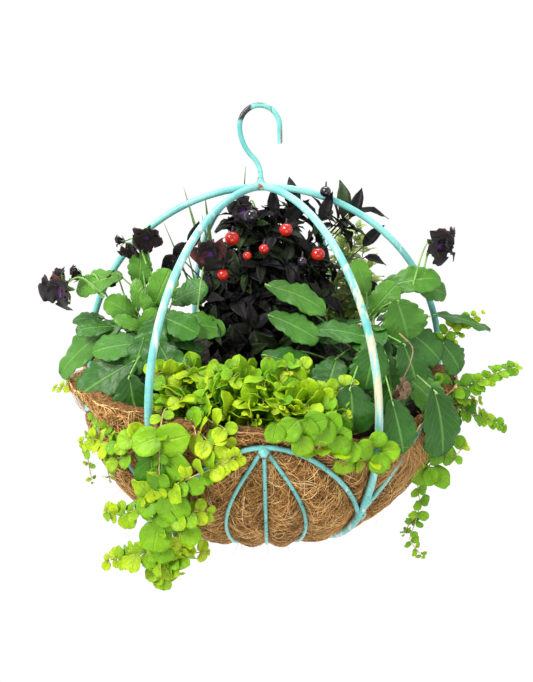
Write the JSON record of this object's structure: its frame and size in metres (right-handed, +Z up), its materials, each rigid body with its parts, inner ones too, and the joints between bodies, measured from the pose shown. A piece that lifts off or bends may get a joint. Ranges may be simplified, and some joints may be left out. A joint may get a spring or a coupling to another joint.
{
  "type": "planted hanging basket",
  "caption": "Globe-shaped hanging basket of painted steel rod on an open hook, with scalloped side panels, a coir liner and mixed trailing and upright plants.",
  "frame": {"origin": "inside top of the hook, where the basket hangs on its support", "axes": "+Z up, -Y is the front, +X is the right seen from the front"},
  "size_m": [0.464, 0.3878, 0.4008],
  "materials": {
    "mint_paint": "weathered satin paint",
    "weld_paint": "lumpy painted weld with rust specks",
    "tie_plastic": "matte",
    "coir": "loose felted coconut fibre",
    "soil": "damp crumbly compost",
    "creeper_leaf": "soft satin leaf",
    "pansy_leaf": "soft satin leaf",
    "pansy_petal": "velvety petal",
    "pepper_leaf": "glossy dark leaf",
    "pepper_fruit": "glossy fruit skin",
    "shrub_leaf": "satin leaf",
    "grass": "satin blade"
  },
  "bodies": {
    "root": {"apex_welds": "weld_paint", "arch_foot_welds": "weld_paint", "arm_back_left": "mint_paint", "arm_back_right": "mint_paint", "arm_front_left": "mint_paint", "arm_front_right": "mint_paint", "arm_left": "mint_paint", "arm_right": "mint_paint", "back_arch": "mint_paint", "back_left_arch": "mint_paint", "back_left_rib_left": "mint_paint", "back_left_rib_middle": "mint_paint", "back_left_rib_right": "mint_paint", "back_rib_left": "mint_paint", "back_rib_middle": "mint_paint", "back_rib_right": "mint_paint", "back_right_arch": "mint_paint", "back_right_rib_left": "mint_paint", "back_right_rib_middle": "mint_paint", "back_right_rib_right": "mint_paint", "bottom_ring": "mint_paint", "coir_liner": "coir", "creeping_jenny_curtain": "creeper_leaf", "creeping_jenny_mat": "creeper_leaf", "creeping_jenny_sprig_left": "creeper_leaf", "creeping_jenny_sprig_right": "creeper_leaf", "creeping_jenny_trail_right": "creeper_leaf", "crown_weld": "weld_paint", "front_arch": "mint_paint", "front_left_arch": "mint_paint", "front_left_rib_left": "mint_paint", "front_left_rib_middle": "mint_paint", "front_left_rib_right": "mint_paint", "front_rib_left": "mint_paint", "front_rib_middle": "mint_paint", "front_rib_right": "mint_paint", "front_right_arch": "mint_paint", "front_right_rib_left": "mint_paint", "front_right_rib_middle": "mint_paint", "front_right_rib_right": "mint_paint", "grass_blades": "grass", "hook": "mint_paint", "ornamental_pepper": "pepper_leaf", "pansy_bloom_middle": "pansy_petal", "pansy_bloom_right": "pansy_petal", "pansy_bloom_top": "pansy_petal", "pansy_blooms_left": "pansy_petal", "pansy_left": "pansy_leaf", "pansy_right": "pansy_leaf", "pepper_fruit": "pepper_fruit", "potting_soil": "soil", "root_ball_creeper": "soil", "root_ball_grass": "soil", "root_ball_pansy_left": "soil", "root_ball_pansy_right": "soil", "root_ball_pepper": "soil", "root_ball_shrub": "soil", "twist_tie": "tie_plastic", "variegated_shrub": "shrub_leaf"}
  },
  "joints": []
}
